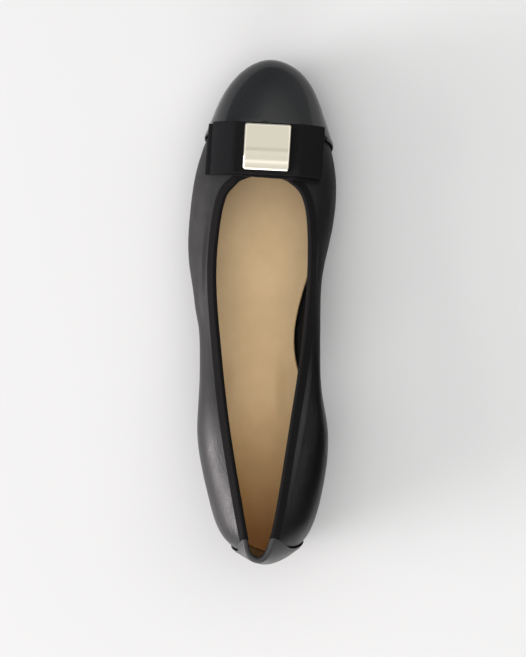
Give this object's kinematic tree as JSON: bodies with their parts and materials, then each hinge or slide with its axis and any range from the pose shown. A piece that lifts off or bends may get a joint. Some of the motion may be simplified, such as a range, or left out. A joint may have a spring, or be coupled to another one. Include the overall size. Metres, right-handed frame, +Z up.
{
  "type": "ballet flat",
  "caption": "Left cap-toe ballet flat with a bound topline, a flat ribbon bow under a square metal plate, a glossy heel patch and a low block heel.",
  "frame": {"origin": "on the floor under the middle of the shoe's outline", "axes": "+Y from heel to toe, +Z up, +X to the wearer's right, the inner side of this left shoe"},
  "size_m": [0.0739, 0.2491, 0.0633],
  "materials": {
    "upper": "semi-gloss black nappa leather",
    "toe_cap": "glossy black patent leather",
    "heel_patch": "glossy black patent leather",
    "topline_binding": "matt black ribbed grosgrain tape",
    "insole": "smooth beige leather",
    "outsole": "black leather sole",
    "heel_block": "black covered heel",
    "heel_lift": "matt black rubber",
    "bow_lower": "matt black ribbed grosgrain ribbon",
    "bow_upper": "matt black ribbed grosgrain ribbon",
    "plate": "polished silver-coloured metal"
  },
  "bodies": {
    "root": {"upper": "upper", "toe_cap": "toe_cap", "heel_patch": "heel_patch", "topline_binding": "topline_binding", "insole": "insole", "outsole": "outsole", "heel_block": "heel_block", "heel_lift": "heel_lift", "bow_lower": "bow_lower", "bow_upper": "bow_upper", "plate": "plate"}
  },
  "joints": []
}
